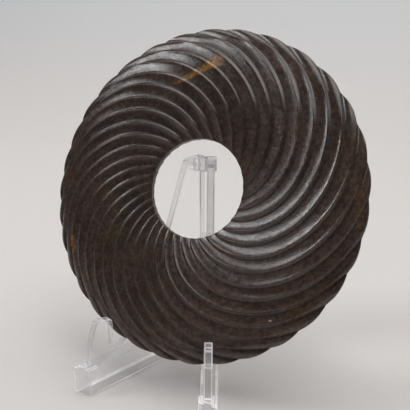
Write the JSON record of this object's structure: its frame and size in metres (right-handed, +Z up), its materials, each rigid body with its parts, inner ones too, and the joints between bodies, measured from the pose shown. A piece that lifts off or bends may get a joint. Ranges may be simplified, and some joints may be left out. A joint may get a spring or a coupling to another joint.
{
  "type": "bi disc on a plate easel",
  "caption": "Dark jade bi disc with a round central hole and spiral rope flutes on both faces, leaning in a small clear folding easel.",
  "frame": {"origin": "middle of the underside of the whole object's bounding box, on the surface that the easel stands on", "axes": "+Z up; -Y is the front, which the disc's face leans back from; +X is to the right as seen from the front"},
  "size_m": [0.12, 0.0636, 0.1241],
  "materials": {
    "jade": "satin",
    "clear_plastic": "gloss"
  },
  "bodies": {
    "root": {"jade_bi_disc": "jade", "easel_left_plate": "clear_plastic", "easel_right_plate": "clear_plastic"}
  },
  "joints": []
}
